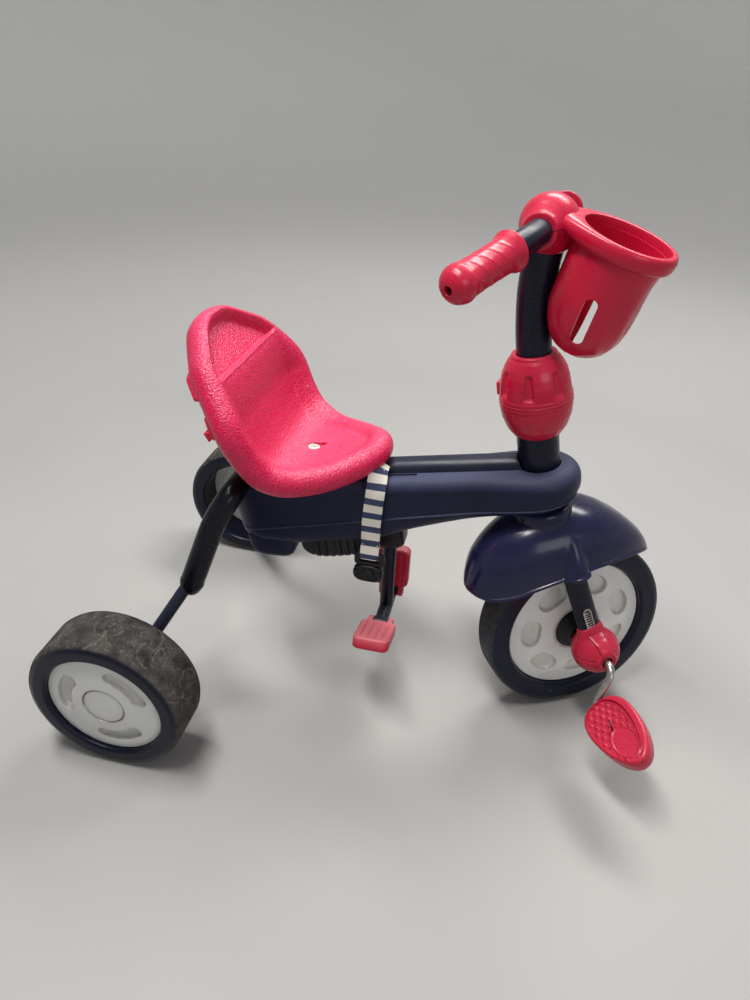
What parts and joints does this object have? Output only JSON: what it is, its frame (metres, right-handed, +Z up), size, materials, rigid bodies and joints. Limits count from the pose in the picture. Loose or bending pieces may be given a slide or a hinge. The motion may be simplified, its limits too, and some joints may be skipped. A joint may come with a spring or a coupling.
{
  "type": "children's tricycle",
  "caption": "Small tricycle with a bucket seat, raked steering column, front pedals under a fender, a folding footrest, a strap with a buckle, and a basket.",
  "frame": {"origin": "on the ground under the middle of the footprint", "axes": "+X forward, from the rear axle to the front wheel; +Y to the rider's left; +Z up"},
  "size_m": [0.723, 0.509, 0.6363],
  "materials": {
    "navy_plastic": "satin",
    "navy_paint": "gloss",
    "black_plastic": "satin",
    "red_plastic": "gloss",
    "pink_plastic": "fine grain",
    "white_plastic": "satin",
    "worn_tyre": "worn",
    "navy_tyre": "satin",
    "steel": "satin",
    "webbing": "woven"
  },
  "bodies": {
    "tricycle_frame": {"frame_tube": "navy_paint", "head_tube": "navy_paint", "cover_upper": "navy_plastic", "cover_lower": "navy_plastic", "cover_foot_tail": "navy_plastic", "cover_foot_ribbed": "black_plastic", "seat_shell": "pink_plastic", "seat_bracket": "black_plastic", "seat_screw": "steel", "back_pad_right": "pink_plastic", "back_pad_left": "pink_plastic", "back_catch_right": "pink_plastic", "back_catch_left": "pink_plastic", "rear_arch": "black_plastic", "axle_rod_right": "navy_paint", "axle_rod_left": "navy_paint", "footrest_post": "navy_paint", "footrest_mount": "black_plastic", "strap": "webbing", "buckle_loop": "black_plastic", "buckle_body": "black_plastic"},
    "fork": {"steerer": "steel", "fork_crown": "navy_paint", "fork_leg_right": "navy_paint", "fork_leg_left": "navy_paint", "fork_vent_right": "steel", "fork_vent_left": "steel", "axle_cover_right": "red_plastic", "axle_cover_left": "red_plastic", "fender": "navy_plastic", "fender_collar": "navy_plastic", "coupling_cup": "red_plastic"},
    "front_wheel": {"front_tyre": "navy_tyre", "front_disc": "white_plastic", "front_hub_right": "black_plastic", "front_hub_left": "black_plastic", "crank_rod": "steel"},
    "handlebar": {"handlebar_tube": "navy_paint", "grip_right": "red_plastic", "grip_left": "red_plastic", "hub_cover_top": "red_plastic", "hub_cover_bottom": "red_plastic", "column_tube": "navy_paint", "coupling_bell": "red_plastic", "basket": "red_plastic"},
    "latch": {"coupling_latch": "red_plastic"},
    "right_pedal": {"pedal_right": "red_plastic"},
    "left_pedal": {"pedal_left": "red_plastic"},
    "right_rear_wheel": {"rear_tyre_right": "worn_tyre", "rear_disc_right": "white_plastic", "rear_cap_right": "white_plastic"},
    "left_rear_wheel": {"rear_tyre_left": "worn_tyre", "rear_disc_left": "white_plastic", "rear_cap_left": "white_plastic"},
    "right_foot_pad": {"foot_pad_right": "red_plastic", "foot_pin_right": "steel"},
    "left_foot_pad": {"foot_pad_left": "red_plastic", "foot_pin_left": "steel"},
    "button": {"buckle_button": "black_plastic"}
  },
  "joints": [
    {"name": "fork_steer", "type": "hinge", "parent": "tricycle_frame", "child": "fork", "pos_m": [0.17552, 0, 0.3455], "axis": [-0.1977, 0, 0.9803], "range_deg": [-74.3, 15.7]},
    {"name": "handlebar_steer", "type": "hinge", "parent": "tricycle_frame", "child": "handlebar", "pos_m": [0.17552, 0, 0.3455], "axis": [-0.1977, 0, 0.9803], "range_deg": [-44, 76]},
    {"name": "front_wheel_roll", "type": "hinge", "parent": "fork", "child": "front_wheel", "pos_m": [0.24865, 0.01532, 0.12089], "axis": [-0.4797, 0.8721, -0.0967], "continuous": true},
    {"name": "right_pedal_spin", "type": "hinge", "parent": "front_wheel", "child": "right_pedal", "pos_m": [0.28973, -0.0975, 0.08896], "axis": [-0.4797, 0.8721, -0.0967], "continuous": true},
    {"name": "left_pedal_spin", "type": "hinge", "parent": "front_wheel", "child": "left_pedal", "pos_m": [0.20758, 0.12813, 0.15282], "axis": [-0.4797, 0.8721, -0.0967], "continuous": true},
    {"name": "right_rear_wheel_roll", "type": "hinge", "parent": "tricycle_frame", "child": "right_rear_wheel", "pos_m": [-0.26748, -0.221, 0.094], "axis": [0, 1, 0], "continuous": true},
    {"name": "left_rear_wheel_roll", "type": "hinge", "parent": "tricycle_frame", "child": "left_rear_wheel", "pos_m": [-0.26748, 0.221, 0.094], "axis": [0, 1, 0], "continuous": true},
    {"name": "right_foot_pad_fold", "type": "hinge", "parent": "tricycle_frame", "child": "right_foot_pad", "pos_m": [0.00952, -0.036, 0.1], "axis": [1, 0, 0], "range_deg": [-71, 19]},
    {"name": "left_foot_pad_fold", "type": "hinge", "parent": "tricycle_frame", "child": "left_foot_pad", "pos_m": [0.00952, 0.036, 0.1], "axis": [1, 0, 0], "range_deg": [-90, 0]},
    {"name": "coupling_latch_press", "type": "slide", "parent": "handlebar", "child": "latch", "axis": [0.9423, -0.2756, 0.19], "range_m": [0, 0.003], "stiffness_N_per_m": 400},
    {"name": "buckle_button_press", "type": "slide", "parent": "tricycle_frame", "child": "button", "axis": [0, 1, 0], "range_m": [0, 0.0015], "stiffness_N_per_m": 400}
  ]
}
